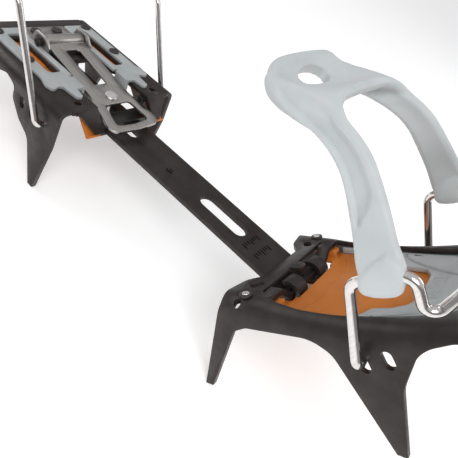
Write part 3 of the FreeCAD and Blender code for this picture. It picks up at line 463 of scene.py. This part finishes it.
def channel_depth(i, j):
    """How far the outer face of a leg sinks: a step above the lug, then a channel steep at its rear rim."""
    control = len(LEG_EDGES) + len(CROWN) - 1
    folded = min(i, 2 * LEG_STEPS - i)
    s = control * folded / LEG_STEPS
    t = j / ACROSS_STEPS
    start, end = 3.3, 13.3
    above_lug = LUG_STEP * soft_step(s, 0.3, 0.9) * (1.0 - soft_step(s, 2.6, 4.6))
    if not start < s < end:
        return above_lug
    left = 0.17 + 0.09 * soft_step(s, 9.0, end)
    right = left + 0.44 * soft_step(s, start, 5.4) * (1.0 - 0.85 * soft_step(s, 9.5, end))
    fade = soft_step(s, start, start + 0.5) * (1.0 - soft_step(s, end - 1.2, end))
    sunk = fade * soft_step(t, left, left + 0.04) * (1.0 - soft_step(t, right, right + 0.16))
    return max(above_lug, CHANNEL_DEEP * sunk)


LUG_SIDES = 16


def lug_shell(side):
    """Bulged lug round the bail's top run, with a pointed top where it meets the leg."""
    stations = [     # y, wire centre height, foot, crest, outer face, inner face
        (67.6, 27.1, 26.0, 28.6, 48.2, 46.0), (68.4, 27.4, 24.0, 30.2, 49.8, 44.6),
        (70.0, 27.9, 22.9, 32.2, 50.6, 43.7), (73.6, 29.1, 22.8, 36.2, 51.0, 43.4),
        (77.2, 30.4, 23.4, 39.0, 51.0, 43.4), (80.2, 31.4, 24.3, 37.6, 50.7, 43.7),
        (82.0, 32.0, 25.8, 36.2, 50.0, 44.6), (82.9, 32.3, 28.8, 34.8, 48.6, 46.0)]
    rings = []
    for y, middle, foot, crest, outer, inner in stations:
        ring = []
        for k in range(LUG_SIDES):
            a = 2 * math.pi * k / LUG_SIDES
            c, s = math.cos(a), math.sin(a)
            across = math.copysign(abs(c) ** (0.42 if s > 0 else 0.75), c)
            up = math.copysign(abs(s) ** 0.85, s)
            x = (outer + inner) / 2 + (outer - inner) / 2 * across
            lean = -0.7 * max(0.0, up) ** 1.5
            z = middle + up * ((crest - middle) if up > 0 else (middle - foot))
            ring.append(FRONT @ Vector((side * (x + lean), y, z)))
        rings.append(ring)
    return loft(rings)


def oval_cutter(matrix, centre, axis_tilt, half_width, half_height, depth):
    """Oval punch; axis_tilt is how far its axis leans from upright about X, in degrees."""
    turn = Matrix.Translation(centre) @ Matrix.Rotation(math.radians(-axis_tilt), 4, "X")
    rings = []
    for z in (-depth, 0.0, depth):
        ring = []
        for k in range(40):
            a = 2 * math.pi * k / 40
            ring.append(matrix @ turn @ Vector((half_width * math.cos(a), half_height * math.sin(a), z)))
        rings.append(ring)
    return cutter_from(*loft(rings))


def front_harness():
    rows = mirrored_rows(front_harness_rows())
    points, faces = thick_sheet(rows, HARNESS_THICK, channel_depth)
    points = [FRONT @ p for p in points]
    made = piece_from("front_harness_moulding", points, faces, "front_bail", "harness_tpu")
    slot = oval_cutter(FRONT, (0.0, 32.6, 89.6), 54.0, 12.4, 4.6, 9.0)
    moulded(made, [lug_shell(1), lug_shell(-1)], [slot], 0.0005, 5)
    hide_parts("front_harness")


front_harness()

# ---------------------------------------------------------------- rear harness
BAND_HALF, BAND_THICK = 11.6, 5.2


def rear_band_rows():
    """Upright rows of the heel band, from its right end round the heel to the left end."""
    path = [(42.0, -73.6, 64.6), (40.0, -79.0, 64.8), (37.6, -85.6, 65.1), (34.6, -93.2, 65.5),
            (28.5, -101.0, 65.8), (20.0, -105.2, 66.0), (10.0, -106.0, 66.0), (0.0, -106.0, 66.0)]
    centres = refined([Vector(p) for p in path], 60)
    rows = []
    for i, centre in enumerate(centres):
        taper = 1.0 - 0.28 * (1.0 - soft_step(i, 0, 9))
        crest = 1.6 * soft_step(i, 30, 60)
        row = []
        for j in range(31):
            u = 2.0 * j / 30 - 1.0
            reach = BAND_HALF * taper + (crest if u < 0 else 0.0) - 0.8
            row.append(centre + Vector((0.0, 0.0, -u * reach)))
        rows.append(row)
    return rows


def rear_channel(i, j):
    """A shallow panel sunk into the outer face between its rims."""
    folded = min(i, 120 - i)
    u = abs(2.0 * j / 30 - 1.0)
    return 0.9 * soft_step(folded, 15, 20) * (1.0 - soft_step(u, 0.45, 0.62))


def rear_harness():
    rows = mirrored_rows(rear_band_rows())
    points, faces = thick_sheet(rows, BAND_THICK, rear_channel)
    points = [HEEL @ p for p in points]
    made = piece_from("rear_harness_moulding", points, faces, "rear_bail", "harness_tpu")
    cutters = []
    for side in (1, -1):
        rings = []
        for x in (30.0, 50.0):
            ring = []
            for k in range(32):
                a = 2 * math.pi * k / 32
                y = -80.6 + 3.0 * math.copysign(abs(math.cos(a)) ** 0.6, math.cos(a))
                z = 66.4 + 7.6 * math.copysign(abs(math.sin(a)) ** 0.6, math.sin(a))
                ring.append(HEEL @ Vector((side * x, y, z)))
            rings.append(ring)
        cutters.append(cutter_from(*loft(rings)))
    moulded(made, [], cutters, 0.0006, 4)
    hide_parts("rear_harness")


rear_harness()


# ---------------------------------------------------------------- small details
def tube(points, radius, sides=8):
    """Closed round bead along points of the row frame; its radius is in metres too."""
    rings = []
    for i, here in enumerate(points):
        along = (points[min(i + 1, len(points) - 1)] - points[max(i - 1, 0)]).normalized()
        side = along.cross(Vector((0, 0, 1)))
        side = side.normalized() if side.length > 1e-6 else Vector((1, 0, 0))
        up = side.cross(along)
        end = 0.35 if i in (0, len(points) - 1) else 1.0
        turns = [2 * math.pi * k / sides for k in range(sides)]
        rings.append([here + (side * math.cos(a) + up * math.sin(a)) * radius * end for a in turns])
    return loft(rings)


def joined(shells):
    points, faces = [], []
    for shell_points, shell_faces in shells:
        base = len(points)
        points += shell_points
        faces += [tuple(base + v for v in face) for face in shell_faces]
    return points, faces


MARK_HEIGHT = -3.98               # top face of the bar in its own frame
MARK_RADIUS = 0.00032
STROKES = 7
ARC_CENTRE = Vector((-0.6, -93.5, MARK_HEIGHT))


def bar_marks():
    """Two stamped arcs and a generic size scale of plain strokes on the linking bar, coloured near-black as
    painted shade of the stamped grooves.
    """
    shells = []
    arc_start, arc_step, arc_points = -38.0, 7.6, 11
    for radius in (1.9, 3.9):
        angles = [math.radians(arc_start + arc_step * k) for k in range(arc_points)]
        arc = [ARC_CENTRE + Vector((radius * math.cos(a), radius * math.sin(a), 0.0)) for a in angles]
        shells.append(tube([BAR @ p for p in arc], MARK_RADIUS, 6))
    for base in (-34.6, -26.6):
        for k in range(STROKES):
            x = -5.2 + 2.0 * k
            length = 4.4 if k % 3 == 0 else 2.8
            ends = [Vector((x, base, MARK_HEIGHT)), Vector((x, base + length, MARK_HEIGHT))]
            shells.append(tube([BAR @ p for p in refined(ends, 3)], MARK_RADIUS, 6))
    # The strokes stand a little proud of the bar; their near-black colour is painted shade of stamped
    # grooves.
    piece_from("bar_stamping_painted_shade", *joined(shells), "bar", "dark_steel", STAMP_GROOVE_SHADE)


CORNER_RIVET = (34.6, 9.3)


def rivet_centres():
    """Bright peened middles of the two corner rivets."""
    shells = []
    angles = [2 * math.pi * k / 20 for k in range(20)]
    for side in (1, -1):
        rings = []
        for radius, z in ((1.75, 0.70), (1.70, 1.05), (1.25, 1.18), (0.6, 1.10), (0.15, 1.06)):
            centre = Vector((side * CORNER_RIVET[0], CORNER_RIVET[1], FRONT_TOP + z))
            rim = [Vector((radius * math.cos(a), radius * math.sin(a), 0.0)) for a in angles]
            rings.append([FRONT @ (centre + p) for p in rim])
        shells.append(loft(rings))
    piece_from("corner_rivet_centres", *joined(shells), "front", "rivet_steel", BARE_STEEL)


def tray_arc():
    """Raised bead across the orange tray."""
    half = [(0.0, 33.4), (6.0, 34.4), (12.0, 34.7), (18.0, 34.0), (23.8, 31.8), (28.0, 28.8)]
    points = [(-x, y) for x, y in reversed(half[1:])] + half
    line = refined([Vector((x, y, TRAY_TOP + rocker_rise(y))) for x, y in points], 40)
    piece_from("tray_bead", *tube([FRONT @ p for p in line], 0.00045), "front", "orange_plastic")


def grey_tabs():
    """Raised rounded pads on the grey toe plate, one on each side."""
    outline = [(31.4, 59.6), (28.6, 60.6), (25.4, 63.2), (21.4, 68.2), (17.0, 74.6), (12.9, 81.6),
               (10.6, 87.4), (12.4, 92.4), (18.0, 93.6), (23.4, 91.4), (27.2, 84.0), (29.8, 76.0),
               (31.4, 68.0), (32.2, 62.0)]
    outline = [Vector((x, y, 0.0)) for x, y in outline]
    closed = outline + outline[:3]
    ring = [curve_point(closed, 1.0 + len(outline) * k / 60) for k in range(60)]

    def spine_point(p):
        """Nearest place on the tab's long middle line, which the rounded edge slopes towards."""
        first, last = Vector((29.4, 63.6, 0.0)), Vector((17.6, 88.6, 0.0))
        run = last - first
        return first + run * max(0.0, min(1.0, (p - first).dot(run) / run.length_squared))

    for side, name in ((1, "grey_tab_right"), (-1, "grey_tab_left")):
        rings = []
        for inset, height in ((0.0, -1.4), (0.0, 0.9), (0.4, 1.35), (1.2, 1.6), (2.4, 1.68), (3.6, 1.7)):
            level = []
            for p in ring:
                q = p + (spine_point(p) - p).normalized() * inset
                level.append(FRONT @ Vector((side * q.x, q.y, PLATE_TOP + rocker_rise(q.y) + height)))
            rings.append(level)
        made = piece_from(name, *loft(rings), "front", "grey_plastic")
        outward(made)


def plate_mark():
    """A small framed block of plain bars on the grey toe plate."""
    shells = []

    def at(x, y):
        return FRONT @ Vector((x, y, PLATE_TOP + rocker_rise(y)))

    corners = [(-9.0, 77.6), (9.0, 77.6), (9.0, 82.4), (-9.0, 82.4), (-9.0, 77.6)]
    for (x0, y0), (x1, y1) in zip(corners, corners[1:]):
        side = [at(x0 + (x1 - x0) * k / 8, y0 + (y1 - y0) * k / 8) for k in range(9)]
        shells.append(tube(side, 0.00022, 6))
    for k in range(6):
        x = -6.6 + 2.64 * k
        shells.append(tube([at(x, 78.6 + 0.46 * n) for n in range(7)], 0.0003, 6))
    piece_from("plate_block", *joined(shells), "front", "grey_plastic")


bar_marks()
rivet_centres()
tray_arc()
grey_tabs()
plate_mark()


# ---------------------------------------------------------------- floor, light and camera
def floor():
    finish = Finish("pale_floor", Roughness=0.75, Specular_IOR_Level=0.2,
                    Emission_Color=(1.0, 1.0, 1.0, 1.0), Emission_Strength=0.3)
    finish.colour(finish.mix(finish.noise(3.0, 2.0), (0.90, 0.90, 0.90), (0.92, 0.92, 0.92)))
    mesh = bpy.data.meshes.new("floor")
    half = 6.0
    corners = [(-half, -half, 0), (half, -half, 0), (half, half, 0), (-half, half, 0)]
    mesh.from_pydata(corners, [], [(0, 1, 2, 3)])
    made = bpy.data.objects.new("floor", mesh)
    made.data.materials.append(finish.material)
    scene.collection.objects.link(made)


def soft_light(name, place, target, size, power):
    lamp = bpy.data.lights.new(name, "AREA")
    lamp.shape = "RECTANGLE"
    lamp.size, lamp.size_y = size
    lamp.energy = power
    made = bpy.data.objects.new(name, lamp)
    made.location = place
    made.rotation_euler = (Vector(target) - Vector(place)).to_track_quat("-Z", "Y").to_euler()
    scene.collection.objects.link(made)


def studio():
    """White overhead, dimmer towards the horizon, so bright metal has something dark to reflect."""
    world = bpy.data.worlds.new("studio")
    scene.world = world
    world.use_nodes = True
    tree = world.node_tree
    back = tree.nodes["Background"]
    back.inputs["Strength"].default_value = 0.62
    place = tree.nodes.new("ShaderNodeTexCoord")
    split = tree.nodes.new("ShaderNodeSeparateXYZ")
    ramp = tree.nodes.new("ShaderNodeValToRGB")
    tree.links.new(place.outputs["Generated"], split.inputs["Vector"])
    tree.links.new(split.outputs["Z"], ramp.inputs["Fac"])
    tree.links.new(ramp.outputs["Color"], back.inputs["Color"])
    stops = ramp.color_ramp.elements
    stops[0].position, stops[0].color = 0.05, (0.55, 0.55, 0.56, 1.0)
    stops[1].position, stops[1].color = 0.6, (1.0, 1.0, 1.0, 1.0)
    middle = stops.new(0.25)
    middle.color = (0.30, 0.30, 0.31, 1.0)


floor()
studio()
soft_light("key", (0.45, 0.35, 0.75), (0.0, 0.0, 0.05), (0.45, 0.45), 3.6)
soft_light("fill", (-0.75, 0.45, 0.45), (0.0, 0.0, 0.05), (0.5, 0.5), 1.2)
soft_light("back", (0.1, -0.8, 0.5), (0.0, 0.0, 0.05), (0.6, 0.3), 1.6)

camera = bpy.data.objects.new("camera", bpy.data.cameras.new("camera"))
scene.collection.objects.link(camera)
camera.location = (0.17054, 0.07692, 0.20082)
camera.rotation_euler = [math.radians(v) for v in (44.0429, -24.5265, 130.7301)]
camera.data.lens = 34.92
camera.data.sensor_width = 36.0
camera.data.shift_x = -0.0055
camera.data.shift_y = -0.0030
camera.data.clip_start = 0.01
scene.camera = camera
scene.view_settings.view_transform = "Standard"
